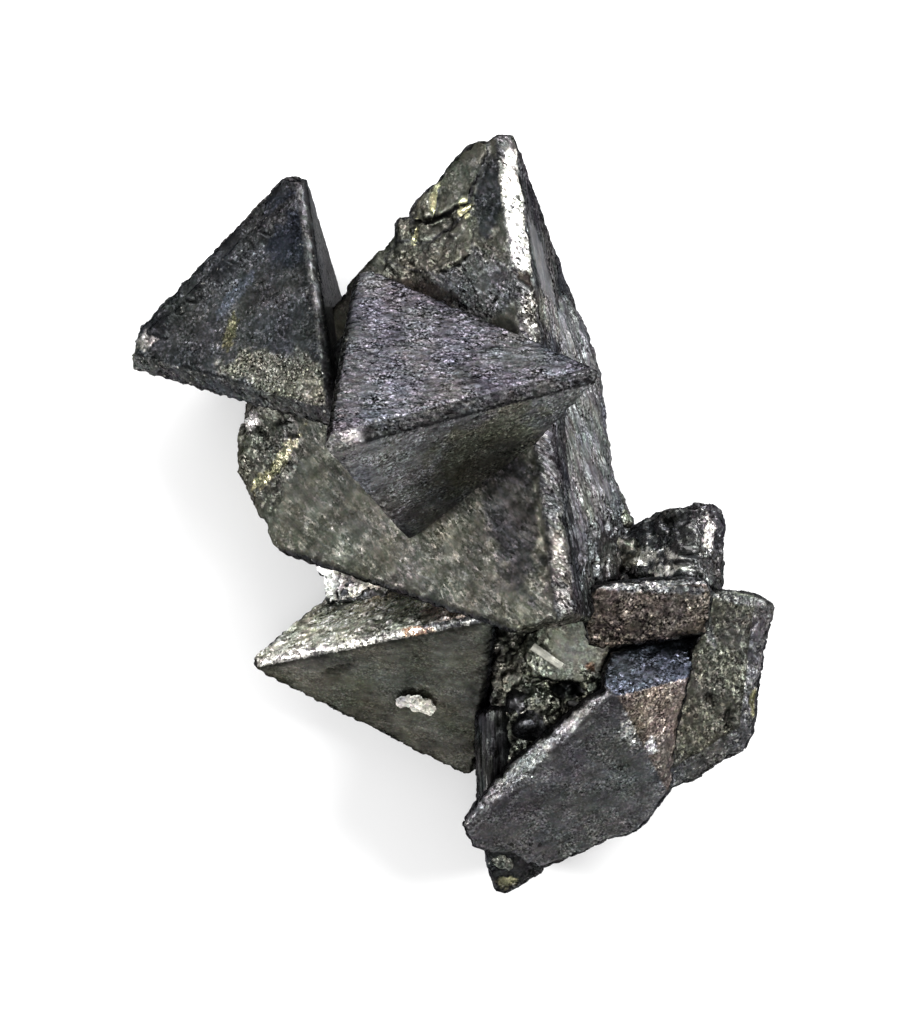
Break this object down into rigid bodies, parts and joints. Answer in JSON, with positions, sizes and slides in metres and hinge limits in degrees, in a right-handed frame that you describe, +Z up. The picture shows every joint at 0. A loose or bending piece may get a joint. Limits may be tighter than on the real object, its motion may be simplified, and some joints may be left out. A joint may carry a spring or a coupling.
{
  "type": "tennantite specimen",
  "caption": "Hand specimen of dark grey tennantite: sharp tetrahedral crystals with blunted edges grown together, lying on a flat broken base.",
  "frame": {"origin": "the middle of the specimen's box, on the surface it rests on", "axes": "+Z up from the resting face, +Y from the small broken foot towards the tip of the tall crystal, +X towards the broken slab"},
  "size_m": [0.0327, 0.0382, 0.021],
  "materials": {
    "tennantite": "metallic steel-grey crystal faces, finely granular, with bright worn edges",
    "quartz": "pale, glassy, slightly cloudy",
    "druse": "pale small crystals with dark gaps, glittering"
  },
  "bodies": {
    "root": {"tennantite_crystals": "tennantite", "quartz_needle": "quartz", "quartz_grain": "quartz", "pale_druse": "druse"}
  },
  "joints": []
}
